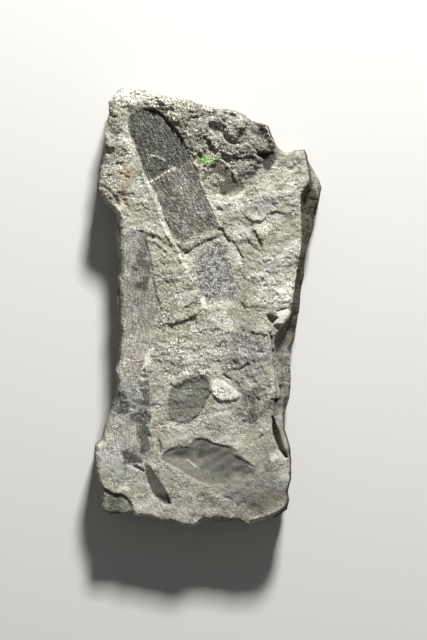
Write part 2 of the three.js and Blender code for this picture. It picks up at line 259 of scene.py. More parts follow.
SECOND_LEAF = [
    (-9.8, 21.8), (-6, 25.6), (-2, 27.8), (2.6, 29.8), (6.3, 31.8), (9, 28), (12, 25.5), (14.7, 21.5),
    (15.3, 17), (15.8, 8), (15.5, 0), (18.4, -8), (21.5, -16.2), (24.5, -29.2), (26.5, -42.2),
    (17.9, -42.2), (12.7, -29.2), (5.8, -11.9), (-1.6, 3.2), (-4.5, 8), (-5.3, 14), (-6.5, 18),
]
LEAF_FILM = [
    (-5.2, 22), (0, 26.5), (6, 29.5), (8.5, 25), (9.6, 18), (11.6, 11), (13.6, 6.5), (10, 4), (4, 4.6),
    (-2, 4.4), (-4.4, 9), (-5.3, 15),
]
SIDE_LEAF = [
    (-30.2, 33.3), (-27, 33.3), (-26.6, 28), (-25.8, 24), (-24.8, 19), (-23.9, 14), (-23.4, 9), (-22.5, 4),
    (-21.2, 0), (-22.5, -2), (-24, -6), (-24.8, -12), (-26, -20), (-26.5, -28), (-25.5, -34), (-25, -40),
    (-25.2, -50), (-25.6, -60), (-26.5, -66), (-28, -68), (-36.5, -69), (-47.8, -66.8), (-55, -60),
    (-50, -40), (-46, -20), (-46, 20), (-38, 29), (-34, 32.5),
]
OVAL = [
    (-17, -36), (-15.5, -33.5), (-11, -31.5), (-8, -30.3), (-5, -29.6), (-2, -29.3), (-0.3, -30.5),
    (0.5, -33), (0.3, -37), (-1, -40), (-2.5, -43), (-4.5, -46.5), (-7, -48.3), (-10, -49.5), (-13, -49.7),
    (-15.5, -48.7), (-17, -46), (-17.6, -41),
]
BRIGHT_CHIP = [
    (1, -31), (3.5, -30.5), (6, -31.5), (8, -33), (10, -35), (13.5, -37.5), (12.5, -39.5), (9, -40.3),
    (5, -40.2), (2.5, -38.5), (1.2, -36),
]
SLOT = [
    (-27.6, -68), (-25.7, -67.9), (-22.7, -72.4), (-21, -75.2), (-18.8, -78.7), (-17.3, -81), (-16.6, -84),
    (-16.6, -85.2), (-19.3, -84.6), (-21.3, -83.1), (-23.2, -81.6), (-24.4, -79.7), (-25.6, -77),
    (-26.6, -74.6), (-27.2, -71.2),
]
CHIP_HOLE = [(25.3, -3), (27.2, -3.2), (29.9, -4.5), (27.5, -6.9), (25.9, -5.2)]
LOOSE_FLAKE = [
    (29.8, -4.4), (29.4, -1.7), (33.5, -0.5), (35.4, -2), (34.6, -5.5), (33, -7), (30.5, -7.4), (28, -7.1),
]
CREVICE = [
    (27.5, -47.5), (28.6, -49.5), (30.6, -55), (32.3, -60.5), (34.3, -65.2), (33, -65.2), (30, -60.5),
    (28.5, -57), (27.6, -53),
]
WHITE_MARKS = [
    [
        (-27.8, -20.3), (-25.5, -19.5), (-25.2, -23), (-24.3, -24), (-26, -25), (-27.5, -25.6),
        (-28.9, -27.2), (-28.6, -25.4), (-27.5, -23.5),
    ],
    [(-3.8, 3.4), (-2, 5), (-1.2, 2), (-0.4, -1), (-3.4, -1)],
    [(-24.6, -17.1), (-23.7, -17.7), (-24.2, -19.8), (-25.3, -19.5)],
]
FILM_PATCHES = [
    [(-41, -37), (-36, -36), (-34.6, -40), (-35, -45.5), (-41, -46)],
    [(-35.4, -40.6), (-30, -39.4), (-29.6, -43), (-35, -43.6)],
    [(-34.4, -44.6), (-28, -44), (-25.4, -45), (-25.4, -50.4), (-31, -50), (-34, -48)],
    [(-30, -35), (-25.4, -35), (-25.4, -43), (-29, -42.4)],
    [(-31.4, -51), (-25.6, -50.6), (-25.8, -62), (-29, -63), (-30.6, -57)],
    [(-31, -31.6), (-26.4, -31), (-26, -34), (-30, -34)],
    [(-37.5, -61), (-31, -63), (-29, -67), (-37, -67.6)],
]
PAINT_DAB = [(-4.3, 64.5), (-3.2, 66.3), (-1.5, 66.4), (-0.3, 65), (-0.4, 63), (-2.2, 62), (-3.6, 62.8)]
PAINT_SMEAR = [(-1.5, 66), (2, 65.5), (5, 65), (6, 63), (3.5, 61.2), (0.5, 61), (-1.2, 62)]
LEFT_RIDGE = [
    (-27.6, 56.4), (-26.4, 53.4), (-24, 48.6), (-21.8, 43.4), (-20.2, 38), (-18.4, 32.6), (-15, 27),
    (-12.4, 22), (-9, 15.6),
]
PALE_LINES = [
    [(-9.5, -65.6), (-7, -67.6), (-4, -70)],
    [(-25, 65.8), (-22, 65.4), (-20.5, 64.2), (-18.4, 63.8)],
    [(-36, 33.7), (-31, 33.8), (-27, 33.6)],
    [(-31.5, -34.8), (-29.5, -37), (-28.5, -39.5)],
    [(-35.5, -40), (-30, -42.5)],
    [(-37, -47), (-31, -44.5)],
    [(-33.5, -67.6), (-31, -67.6), (-28, -69.6)],
    [(-19.8, -62.4), (-15, -60), (-9, -59.6), (-4, -55.9)],
]
TIP_LINE = [(-25.8, 54.2), (-23, 55.6), (-20, 57.4), (-16, 59.7), (-14.3, 60.4)]
RIGHT_LIP = [(-3, 54), (-1.5, 50), (0.6, 45.4), (3, 39.5), (4.8, 36), (5.4, 33.6)]

# Where the stone breaks in its own way
CRUMBLY = [
    (-22, 24), (-12, 24), (-5, 16), (-1.6, 3), (6, -12), (10, -28), (2, -29), (-16, -31), (-22, -28),
    (-24, -16), (-22.5, 0),
]
RIGHT_BEDDING = [
    (4, 34), (0, 52), (15, 50), (29, 62), (44, 70), (50, 40), (40, -8), (28, -8), (20, -5), (16, 8),
    (15, 22),
]
LEFT_APRON = [
    (-42, 44), (-30, 60), (-27, 55), (-10, 17), (-14, 20), (-22, 20), (-26, 27), (-27, 34), (-42, 34),
]
GREY_GROUND = [(6, -11), (18, -9), (27, -10), (29, -48), (14, -50), (11, -30), (5, -24)]

# Cracks: path, half width, depth
CRACKS = [
    ([(6.5, 84.2), (8.6, 83.2), (10.8, 82.6)], 0.6, 1.4),
    ([(20, 32.8), (20.8, 30), (22, 27.8), (22.8, 26.4)], 0.8, 1.4),
    ([(15.3, 32.2), (16.6, 29.6), (17.5, 27.4)], 0.45, 0.7),
    ([(13, 31.8), (15, 30.2)], 0.4, 0.6),
    ([(4, 33.9), (6, 33.5), (7, 31.2), (9, 28.3)], 0.9, 1.6),
    ([(10, 28.6), (12, 26), (14.6, 21.8)], 0.55, 1.0),
    ([(-3.5, 15.4), (-1, 15.7), (0.5, 17.4), (1.8, 18.2)], 0.4, 0.5),
    ([(3.8, 11.6), (7, 11.3), (10, 12.3)], 0.35, 0.4),
    ([(9, 19.3), (9.6, 15.3)], 0.35, 0.5),
    ([(11.9, 10.8), (13.6, 7.8)], 0.45, 0.6),
    ([(14.3, 1.6), (15.6, -0.6)], 0.5, 0.9),
    ([(29.8, -1.4), (33.5, -0.5)], 0.55, 1.6),
    ([(26.8, -2.4), (28.4, -2.7)], 0.35, 0.7),
    ([(10.4, -26.7), (12.5, -26.8), (14.5, -26.2), (16.5, -25), (17.6, -24.4)], 0.55, 1.2),
    ([(6.3, -28.8), (7.5, -30.2), (9.7, -31)], 0.55, 1.2),
    ([(-32.4, -68.4), (-30.8, -69), (-28.2, -71)], 0.7, 1.5),
    ([(-21.5, -57.3), (-20.8, -60), (-20.6, -62.6)], 0.55, 1.2),
    ([(-0.6, -39.6), (0.6, -37.3)], 0.55, 1.5),
    ([(-1, -40.4), (-2.7, -43.5), (-4.6, -46.8), (-7.5, -48.8)], 0.45, 0.6),
    ([(22, -56.2), (23.4, -55)], 0.45, 1.0),
    ([(7, -81.9), (8.5, -82.3), (10, -83)], 0.45, 0.9),
    ([(-27, 27.6), (-26, 24.5), (-25, 20), (-24.2, 16)], 0.5, 0.6),
    ([(-24, 13), (-23.5, 9), (-23, 6), (-22, 3), (-20.5, -1)], 0.7, 0.8),
    ([(-19, 38.6), (-17.3, 35), (-15.8, 31.8)], 0.4, 0.5),
    ([(-13.6, 27.2), (-11.3, 23.7)], 0.5, 0.8),
    ([(23, 4), (24.4, 2.6)], 0.35, 0.6),
    ([(7.8, 37), (12, 37.5)], 0.3, 0.4),
    ([(-44, 84.5), (-42.3, 82.6), (-40.6, 82), (-39.3, 82.6)], 0.7, 1.4),
    ([(-45.5, 52.5), (-43, 50.5), (-41, 48.3), (-39, 44.5)], 0.8, 0.8),
    ([(-44.5, 65.6), (-40, 65.3), (-36.5, 65.6)], 0.4, 0.7),
    ([(-46.5, -77.6), (-43.5, -79.2), (-41, -80.5), (-38.5, -80.8)], 0.5, 0.9),
    ([(26.8, -11), (27.6, -16), (27.8, -22), (28.6, -28), (29.4, -36), (28.6, -44), (27.6, -48)], 0.6, 1.0),
    ([(-10.4, 23.2), (-8, 24.6), (-6, 26), (-2, 28.3), (2.8, 30.1)], 0.6, 0.9),
]

# Ledges: path with the higher ground on its left, drop, and how far back the ground rises
LEDGES = [
    ([(-17, -7.2), (-13, -6), (-9, -4.9), (-5.5, -3), (-3.2, -0.6)], 1.3, 9),
    ([(14, 42.5), (16, 39.5), (19, 37.6), (22, 37.4), (24.5, 38.8)], 0.4, 6),
    ([(24, 40.4), (28, 41.3), (31, 41.4), (35.5, 39.6)], 0.5, 7),
    ([(19.5, 20.4), (22.5, 19.6), (25, 20.5), (29, 22.2)], 0.5, 6),
    ([(24, 10.2), (28, 10), (31.5, 10.6)], 0.4, 5),
    ([(31, 19.6), (33.5, 18), (37.5, 18.4)], 0.4, 5),
    ([(14.5, 1), (18, 0.6), (21, 0.7), (25.5, 0.3)], 0.6, 5),
    ([(-26, 15), (-22, 14), (-19.5, 14.8), (-16, 15.5), (-11, 15.2)], 0.4, 5),
    ([(-12.5, 61), (-17, 59.4), (-20, 57.8), (-23, 55.8), (-26, 54.2)], 0.8, 11),
    ([(-15, 64.2), (-18.5, 63.5), (-20.5, 64.5), (-22.5, 65.6), (-26, 65.6)], 0.9, 2.2),
    ([(6, -11.6), (9, -10.4), (12, -11.2)], 0.6, 4),
    ([(18, -10.3), (22, -11), (26, -11.6)], 0.6, 4),
    ([(21, -17), (25, -17.4), (29, -18.2)], 0.6, 4),
    ([(21, -91.6), (27, -89), (31, -87), (36, -84.2)], 1.4, 5),
    ([(-47, -77.4), (-41, -80.5), (-38.5, -80.6), (-35, -82), (-33, -85.5), (-32.2, -91)], 0.7, 6),
    ([(9.5, -62.8), (15, -65.4), (20, -68.6)], 0.5, 3),
    ([(-28, 32.8), (-23.5, 31.8), (-19, 29.7)], 0.9, 2),
    ([(-28, 29.5), (-22.5, 28), (-19.5, 25.4), (-15.5, 21.6)], 0.7, 2),
    ([(-26, 26), (-21, 23.5), (-17, 20.2)], 0.6, 2),
    ([(-25, 22.2), (-20, 20.3), (-14, 19.4)], 0.35, 2),
    ([(-31.5, 33.4), (-29, 33.5), (-26.4, 33.2)], 0.4, 3),
]

# Dips and lumps: centre, half sizes, lean in degrees, rise
LUMPS = [
    ((2.3, 83.2), (2.4, 1.1), 54, -1.8), ((2.6, 77.5), (3.4, 2.4), 0, -1.7),
    ((1.8, 74.3), (2.8, 1.4), 20, -1.4), ((7.5, 73.6), (3.8, 1.4), -50, -1.6),
    ((11.8, 70.8), (3.2, 1), -10, -1.3), ((20.5, 77), (6.5, 3.2), -40, -3.6),
    ((7.3, 64.4), (3.6, 1.6), -40, -1.5), ((16.8, 63.8), (3.4, 1.8), 10, -1.5),
    ((10.5, 76.8), (5, 4.5), 0, 1.0), ((9.5, 67.6), (5.5, 2.5), 0, 0.8), ((3.5, 55), (3.6, 2.6), -10, 1.0),
    ((-7, 84), (3.4, 0.7), 0, -0.9), ((-6, 82), (3, 0.6), 0, -0.8), ((-9, 77.4), (2.2, 1.6), 0, -1.0),
    ((-28.9, 53.2), (1.2, 0.8), 0, -1.2), ((-42.8, 67.4), (2.6, 1.9), 0, -1.8),
    ((-38.5, 62), (2.4, 1.2), 0, -0.7), ((22.2, -19.4), (2.2, 1.1), 0, -0.9),
    ((5, 42), (1.8, 1.2), -30, -0.6), ((-37.5, 82.7), (0.7, 0.6), 0, -1.0),
    ((-25.5, -55.5), (0.7, 0.8), 0, -1.2), ((-20.5, -50.5), (0.8, 0.6), 0, -1.0),
    ((-18, 88.6), (1.8, 0.6), 10, -0.6), ((10, 29), (3.6, 2), -25, -0.6),
    ((-9.8, 24), (2.2, 1.3), -35, -1.2), ((-28, -27.4), (0.8, 0.8), 0, -0.8),
    ((-28, -30), (2.4, 1), 0, -0.6), ((-26.5, -16), (0.7, 0.6), 0, -0.8),
    ((-16.5, -34), (1.2, 1.2), 0, -0.8), ((31, -9), (3, 1.2), -10, -0.9), ((27.5, -24), (1.4, 9), 3, -0.8),
]

# Stains: which film, centre, half sizes, lean in degrees, strength. The fresh-break ovals along the top edge
# and on the second leaf's right margin are partly painted highlight, where the stone faces the lamp; the
# carbon ovals at (21.5, 76) and (-8, -62) are painted shadow, on slopes that face away from it.
STAINS = [
    ("carbon_film", (-28, 20), (3.4, 15), 3, 0.5), ("carbon_film", (-28, 11), (3.8, 6), 5, 0.35),
    ("carbon_film", (-33, -42), (9, 9), 0, 0.36), ("carbon_film", (-29.5, -47), (5, 4.5), 10, 0.2),
    ("carbon_film", (-28.3, -56), (3.2, 11), 3, 0.3), ("carbon_film", (-33, -64), (6, 4), 0, 0.22),
    ("carbon_film", (17, -22), (13, 15), 10, 0.28), ("carbon_film", (20, -42), (11, 10), 0, 0.6),
    ("carbon_film", (-10, -53), (9, 4), 0, 0.25), ("carbon_film", (-41, 70), (7, 16), 0, 0.2),
    ("carbon_film", (38.5, 63.5), (4, 4), 0, 0.3), ("carbon_film", (20, -78), (18, 11), -15, 0.12),
    ("carbon_film", (0, -87), (26, 7), 0, 0.4), ("carbon_film", (-40, -85), (8, 6.5), 0, 0.42),
    ("carbon_film", (17, 70), (17, 12), -20, 0.25), ("carbon_film", (20, 62), (9, 6), 0, 0.28),
    ("carbon_film", (21.5, 76), (6.5, 3.8), -40, 0.4), ("carbon_film", (-20.3, 59.2), (7, 1.8), 27, 0.6),
    ("carbon_film", (-8, -62), (10, 1.8), 5, 0.35), ("carbon_film", (26, -64), (7, 12), 15, 0.32),
    ("carbon_film", (6, -71), (15, 6), -12, 0.1), ("clay_film", (25, 45.5), (11, 3.8), 12, 0.8),
    ("clay_film", (28.5, 16.5), (3.8, 4.4), 0, 0.7), ("clay_film", (-37, -73), (9, 5), 0, 0.85),
    ("clay_film", (9, -15), (4.5, 5.5), 0, 0.6), ("clay_film", (18, -20), (11, 15), 10, 0.45),
    ("clay_film", (-33, -45), (9, 16), 0, 0.3), ("clay_film", (-20, 64), (6, 4), 20, 0.5),
    ("clay_film", (12, 22), (2.6, 6.5), 25, 0.3), ("iron_stain", (-35.5, 52), (2.8, 17), 2, 0.55),
    ("iron_stain", (-12.5, 31.5), (2.8, 2.2), 30, 0.6), ("iron_stain", (-15, 26), (2, 9), 30, 0.4),
    ("iron_stain", (-22, -52.5), (2.2, 2.8), 0, 0.45), ("iron_stain", (-32, -23), (5.5, 8), 0, 0.4),
    ("iron_stain", (-13.5, 86), (3.5, 2), -25, 0.3), ("fresh_break_and_highlight", (-28, 91), (14, 4), -8, 0.8),
    ("fresh_break_and_highlight", (28, 10), (13, 15), 0, 0.25), ("fresh_break_and_highlight", (10, 45), (11, 5), 10, 0.2),
    ("fresh_break_and_highlight", (-12, -20), (9, 7), 0, 0.25), ("fresh_break_and_highlight", (-8, 88), (14, 2.6), -15, 0.6),
    ("fresh_break_and_highlight", (-16.5, 84), (3.5, 4), -40, 0.3), ("fresh_break_and_highlight", (-39.5, -60), (1.6, 6), 10, 0.45),
    ("fresh_break_and_highlight", (-44, -58), (3, 4), 0, 0.35), ("fresh_break_and_highlight", (-36, -76.8), (5.5, 2.2), 15, 0.45),
    ("fresh_break_and_highlight", (-8, -27.7), (8, 1.8), 8, 0.45), ("fresh_break_and_highlight", (-14, -52), (6, 2), 0, 0.3),
    ("fresh_break_and_highlight", (30, -64), (2.6, 3.4), 40, 0.5), ("fresh_break_and_highlight", (12.2, 22.5), (2, 5.5), 25, 0.5),
    ("fresh_break_and_highlight", (9, 47.5), (9, 3), 15, 0.35), ("fresh_break_and_highlight", (35, 57), (6, 7), 0, 0.3),
    ("fresh_break_and_highlight", (25, 35), (5.4, 4.6), 0, 0.3), ("fresh_break_and_highlight", (33, 5), (3, 5.5), 0, 0.35),
    ("fresh_break_and_highlight", (8, -29), (1.6, 0.9), -20, 0.7), ("fresh_break_and_highlight", (-22.5, -58), (1.6, 5), 5, 0.4),
]


def terraces(x, y, length, seed, treads=3.0, lean=0.0, stretch=1.0):
    """Split bedding: fractal noise cut into flat treads with short ragged risers, drawn out along a lean."""
    along = np.cos(lean) * x + np.sin(lean) * y
    across = np.cos(lean) * y - np.sin(lean) * x
    level = treads * rough(along / stretch, across, length, seed, 5, 0.55)
    tread = np.floor(level)
    return tread + step(level - tread, 0.72, 1)


def oval_patch(x, y, centre, halves, lean):
    """1 in the middle of a leaning oval, fading to 0 at its edge, from the scaled distance to its centre."""
    turn = np.radians(lean)
    right, up = x - centre[0], y - centre[1]
    along = (np.cos(turn) * right + np.sin(turn) * up) / halves[0]
    across = (np.cos(turn) * up - np.sin(turn) * right) / halves[1]
    return 1 - step(np.hypot(along, across), 0.45, 1.1)


def ledge(path, drop, reach, x, y):
    """A lip that rises over its reach to a path, drops on the path's right, and dies out at its ends."""
    lengths = np.hypot(*np.diff(np.array(path), axis=0).T)
    starts = np.concatenate(([0], np.cumsum(lengths)))
    nearest = np.full_like(x, np.inf)
    behind = np.zeros(x.shape, bool)
    share = np.zeros_like(x)
    for (ax, ay), (bx, by), length, start in zip(path[:-1], path[1:], lengths, starts):
        t = np.clip(((x - ax) * (bx - ax) + (y - ay) * (by - ay)) / length**2, 0, 1)
        distance = np.hypot(x - ax - t * (bx - ax), y - ay - t * (by - ay))
        closer = distance < nearest
        nearest = np.where(closer, distance, nearest)
        behind = np.where(closer, (bx - ax) * (y - ay) > (by - ay) * (x - ax), behind)
        share = np.where(closer, (start + t * length) / starts[-1], share)
    lip = np.where(behind, np.clip(1 - nearest / reach, 0, 1) ** 2, 1 - step(nearest, 0, 0.5))
    return drop * lip * np.sqrt(np.clip(4 * share * (1 - share), 0, 1))


def regions(x, y):
    """Share of each form at each point: steps across the outlines, on places swayed by noise."""
    wander_x = 0.8 * noise(x / 5, y / 5, 11) + 0.5 * noise(x / 1.8, y / 1.8, 12)
    wander_y = 0.8 * noise(x / 5, y / 5, 13) + 0.5 * noise(x / 1.8, y / 1.8, 14)
    ragged = (x + wander_x, y + wander_y)
    even = (x + 0.35 * wander_x, y + 0.35 * wander_y)

    def bed(outline, slope, place=even):
        return step(within(outline, *place), -slope / 2, slope / 2)

    at = {"ragged": ragged, "even": even}
    at["leaf"] = bed(LEAF, 0.8)
    at["tip"] = at["leaf"] * bed(LEAF_TIP, 0.8)
    at["strip"] = bed(STRIP, 0.7)
    at["second"] = bed(SECOND_LEAF, 1.0) * (1 - at["strip"])
    at["leaf_film"] = bed(LEAF_FILM, 1.6, ragged)
    at["side"] = bed(SIDE_LEAF, 1.2)
    at["broken"] = step(within(BROKEN_BED, *ragged), -0.5, 7) * (1 - at["leaf"])
    at["hollow"] = np.maximum(*(bed(outline, 0.9) for outline in HOLLOWS))
    at["cap"] = bed(CAP, 2.4, ragged) * (1 - at["leaf"])
    at["centre"] = bed(CENTRE_BED, 3, ragged) * (1 - at["second"])
    at["oval"] = bed(OVAL, 0.8)
    at["oval_depth"] = step(within(OVAL, *even), -0.4, 2.8)
    at["chip"] = bed(BRIGHT_CHIP, 0.8)
    scoop_reach = within(SCOOP, *even)
    fading = step(x, -4, 12) * step(-y, 60, 70)
    at["scoop"] = step(scoop_reach, -0.4 - 2 * fading, 0.6 + 9 * fading)
    at["scoop_depth"] = step(scoop_reach, -0.4 - 2 * fading, 7 + 3 * fading)
    at["striated"] = step(within(STRIATED, *ragged), -1.5, 3)
    at["corner"] = bed(SUNK_CORNER, 0.9)
    at["shoulder"] = bed(RIGHT_SHOULDER, 3)
    at["sliver"] = bed(SLIVER, 0.8)
    at["lens"] = bed(LENS, 1.0)
    at["slot"] = bed(SLOT, 0.8)
    at["hole"] = bed(CHIP_HOLE, 0.7)
    at["flake"] = bed(LOOSE_FLAKE, 0.7)
    at["crevice"] = bed(CREVICE, 0.7)
    at["film_patch"] = np.maximum.reduce([bed(outline, 0.9, ragged) for outline in FILM_PATCHES])
    at["white"] = np.maximum.reduce([bed(outline, 0.6) for outline in WHITE_MARKS])
    at["dab"] = np.maximum(bed(PAINT_DAB, 0.8), 0.4 * bed(PAINT_SMEAR, 1.2))
    prints = np.clip(at["leaf"] + at["leaf_film"] + at["side"], 0, 1)
    at["prints"] = prints
    at["crumbly"] = bed(CRUMBLY, 5, ragged) * (1 - prints)
    at["bedding"] = bed(RIGHT_BEDDING, 5, ragged) * (1 - prints) * (1 - at["broken"])
    at["apron"] = bed(LEFT_APRON, 4, ragged) * (1 - prints)
    at["ground"] = bed(GREY_GROUND, 4, ragged)
    dulled = 0.3 * at["striated"] + 0.6 * at["slot"] + 0.3 * at["hollow"] + 0.7 * at["sliver"]
    at["smooth"] = np.clip(at["scoop"] + dulled + at["white"] + at["flake"], 0, 1)
    at["ridge"] = 1 - step(from_path(LEFT_RIDGE, *even), 0.4, 1.5)
    at["lip"] = 1 - step(from_path(RIGHT_LIP, *even), 0.15, 0.7)
    at["tip_line"] = 1 - step(from_path(TIP_LINE, *even), 0.15, 0.6)
    from_pale = np.minimum.reduce([from_path(path, *even) for path in PALE_LINES])
    at["pale_line"] = 1 - step(from_pale, 0.1, 0.45)
    along_beds = (x / 9 + y / 36, y / 2.6 - x / 10)
    parted = step(noise(x / 5, y / 5, 96), -0.15, 0.2)
    hairlines = (1 - step(np.abs(noise(*along_beds, 95)), 0.02, 0.1)) * parted
    at["hairline"] = hairlines * (1 - at["smooth"]) * (1 - prints)
    at["crack"] = np.zeros_like(x)
    at["crack_depth"] = np.zeros_like(x)
    for path, half_width, depth in CRACKS:
        width = half_width * (1 + 0.6 * noise(x / 2.2, y / 2.2, 15))
        groove = 1 - step(from_path(path, *even), 0.1, np.maximum(width, 0.2))
        at["crack"] = np.maximum(at["crack"], groove)
        at["crack_depth"] = np.maximum(at["crack_depth"], depth * groove)
    return at


# Rise of each whole form above the ground round it, below it where negative
RISES = {
    "centre": 0.4, "tip": -0.2, "strip": 0.35, "scoop": -0.9, "scoop_depth": -1.6, "corner": -0.8,
    "shoulder": -0.8, "sliver": -1.2, "lens": 0.5, "ridge": 0.55, "lip": 0.3, "hole": -4, "crevice": -7,
    "hairline": -0.25, "white": 0.2,
}


def form(x, y, at):
    """Height of the broad forms: waves, beds, prints sunk below them, pits, ledges and cracks."""
    from_leaf = 0.87 * (x + 19) + 0.493 * (y - 84)
    bed_top = 0.11 * np.maximum(from_leaf, 0) + 0.09 * np.maximum(y - 66, 0)
    height = FACE_LEVEL + 0.6 * noise(x / 34 + 3.3, y / 34, 3) + 0.35 * rough(x, y, 12, 51, 3)
    upper = at["cap"] * (0.9 - 1.2 * step(y - 0.22 * (-30 - x), 86, 94))
    height += np.maximum(upper, at["broken"] * bed_top * (1 - 0.9 * at["hollow"]))
    for name, rise in RISES.items():
        height += rise * at[name]
    height -= at["leaf"] * (0.15 + 0.75 * step(y, 60, 82))
    height -= at["second"] * 0.7 * step(y, -20, 16)
    height -= at["side"] * 0.45 * step(y, -30, 25)
    height -= at["oval_depth"] * (0.6 + 0.07 * np.maximum(y + 41, 0))
    height += at["oval"] * 0.7 * step(-y, 41, 47)
    height += at["chip"] * (0.7 - 0.14 * (y + 36))
    height += at["flake"] * (0.6 - 0.08 * (y + 4))
    height -= at["slot"] * (0.35 + 1.7 * step(-y, 80, 84.5))
    height -= at["crack_depth"]
    for middle, halves, lean, rise in LUMPS:
        height += rise * oval_patch(*at["even"], middle, halves, lean)
    for path, drop, reach in LEDGES:
        height += ledge(path, drop, reach, *at["even"])
    return height


def breakage(x, y, at):
    """Height of the stone's own breaks: bedding ledges, facets and grain, each where the stone breaks so."""
    ragged = at["ragged"]
    warped = (2.5 * ragged[0] - 1.5 * x, 2.5 * ragged[1] - 1.5 * y)
    lower_end = step(-y, 48, 58)
    rest = (1 - at["prints"]) * (1 - at["smooth"]) * (1 - at["broken"]) * (1 - 0.5 * lower_end)
    wide_beds = terraces(*warped, 11, 241, 2.4, 0.2, 1.7)
    thin_beds = terraces(*warped, 2.8, 245, 1.8, 0.3, 1.8)
    height = rest * (0.15 * wide_beds + 0.1 * thin_beds)
    height += at["bedding"] * 0.18 * terraces(*warped, 9, 201, 3.2, 0.35, 2.4)
    height += at["crumbly"] * 0.18 * terraces(*warped, 4.5, 211, 2.6, 0.25, 2.2)
    height += at["apron"] * 0.22 * terraces(*warped, 4, 221, 2.4, -0.55, 3.2)
    height += at["cap"] * 0.22 * terraces(*warped, 5, 231, 2.4)
    height += at["ground"] * 0.2 * terraces(*warped, 4, 235, 2.4, -1.15, 2.6)
    height += at["prints"] * 0.07 * terraces(*warped, 4, 251, 2.4, -1.1, 2)
    big = facets(*warped, 7.5, 21, 1.8)
    middling = facets(warped[0], 1.4 * warped[1] - 0.3 * warped[0], 2.8, 31, 1.6)
    small = facets(*ragged, 1.5, 36, 1.6)
    calm = step(y + 0.23 * x, 81.5, 85) * (1 - step(x, 2, 10))
    knobs = 0.9 * big + 0.4 * middling + 0.2 * small
    height += at["broken"] * (1 - at["hollow"]) * (1 - 0.75 * calm) * knobs
    crumbled = 0.5 * at["crumbly"] + 1.3 * at["cap"] + 0.6 * at["apron"] + 0.8 * at["strip"]
    height += crumbled * (0.08 * middling + 0.15 * small)
    split = (warped[0] / 2 + 0.3 * warped[1], warped[1] - 0.25 * warped[0])
    blocks = 0.09 * facets(*split, 4.2, 261, 2) + 0.08 * facets(*split, 1.9, 271, 2)
    blocky = rest + at["bedding"] + 0.3 * at["crumbly"] + 0.6 * at["cap"] + 0.5 * at["ground"]
    height += blocks * blocky
    roughness = 0.08 + 0.12 * at["broken"] + 0.08 * at["cap"] + 0.03 * at["crumbly"]
    roughness += 0.06 * at["leaf"] + 0.12 * at["tip"] + 0.08 * at["leaf_film"]
    height += (1 - 0.85 * at["smooth"]) * roughness * rough(x, y, 1.2, 41, 2, 0.8)
    ripples = np.sin(1.5 * np.hypot(x + 30, y + 10) + 1.2 * noise(x / 9, y / 9, 61))
    return height + at["striated"] * 0.12 * ripples * step(x, -14, 2)


def films(x, y, at):
    """How strongly each film, stain and grain shows, and the painted shade and highlights: each form's own
    share, then ovals with ragged edges.
    """
    blotch = rough(x, y, 7, 81, 5, 0.65)
    place_x = 2 * at["ragged"][0] - x + 2 * noise(x / 6, y / 6, 85)
    place_y = 2 * at["ragged"][1] - y + 2 * noise(x / 6, y / 6, 86)
    vein_lines = 1 - step(np.abs(noise(x / 4, y / 4, 88)), 0.02, 0.1)
    pale_veins = vein_lines * oval_patch(place_x, place_y, (-33, -46), (9, 14), 0)
    tread = terraces(*at["ragged"], 9, 301, 3.4, 0.25, 1.8)
    tread += 0.6 * terraces(*at["ragged"], 4, 311, 2.6, 0.25, 1.6)
    crumbs = step(rough(x, y, 2.2, 93, 3, 0.8), 0.1, 0.5)
    carbon = at["leaf"] * (0.7 + 0.3 * at["tip"] + 0.2 * blotch)
    carbon += at["leaf_film"] * (0.05 + 0.9 * crumbs)
    carbon += at["side"] * step(y, -14, 0) * (0.36 + 0.2 * blotch)
    carbon += at["film_patch"] * (0.85 + 0.3 * blotch)
    carbon += np.maximum(0.66 * at["scoop"], 0.56 * at["striated"])
    carbon += 0.7 * at["oval"] + 0.9 * at["slot"] + 0.2 * at["corner"] + 0.35 * at["sliver"]
    carbon += 0.2 * at["broken"]
    # Pale stone: white marks, pale veins and fresh breaks are the stone's own colour. The ridge, lip, tip
    # line and pale lines are painted highlight on edges that face the lamp, and the bright chip and loose
    # flake are partly so.
    fresh_and_lit = 0.6 * at["chip"] + 0.7 * at["flake"] + 0.6 * at["ridge"] + 0.5 * at["lip"] + 0.95 * at["white"]
    fresh_and_lit += 0.45 * at["pale_line"] + 0.6 * at["tip_line"] + 0.35 * pale_veins
    # Painted shade: darker in cracks, hairlines, the slot and the hollows, where shade falls.
    deep = 0.6 * np.maximum(at["crack"], at["hairline"]) + 0.35 * at["slot"]
    deep += at["hollow"] * (0.1 + 0.45 * step(x, 18, 22))
    grain = 0.36 + 0.35 * step(rough(x, y, 6, 89, 3), -0.4, 0.5)
    grain += 0.3 * at["cap"] + 0.2 * at["crumbly"] + 0.2 * at["strip"] + 0.45 * at["broken"]
    grain += 0.2 * at["leaf"] + 0.3 * at["tip"] + 0.2 * at["leaf_film"]
    veins = at["leaf"] + 0.5 * at["side"] + 0.2 * at["leaf_film"] + 0.4 * at["ground"] + 0.4 * at["striated"]
    masks = {
        "carbon_film": carbon,
        "clay_film": at["leaf_film"] * (0.7 + 0.3 * blotch) + at["side"] * 0.3 * (1 + blotch),
        "iron_stain": 0.2 * step(blotch, 0.3, 0.9),
        "fresh_break_and_highlight": fresh_and_lit,
        "bed_tone": 0.5 + 0.32 * tread,
        "paint_dab": at["dab"] * step(rough(x, y, 2.5, 87, 3), -1.1, -0.2),
        "deep_shade": deep,
        "grain": grain * (1 - 0.75 * at["smooth"]) * (1 - 0.15 * step(-y, 48, 58)),
        "veins": veins,
    }
    for film, middle, halves, lean, strength in STAINS:
        spot = oval_patch(place_x, place_y, middle, halves, lean)
        masks[film] = masks[film] + strength * spot * (1 + blotch)
    return {name: np.clip(mask, 0, 1) for name, mask in masks.items()}


STREAK_STRETCH = 6  # how many times longer than wide the streaks along a leaf are


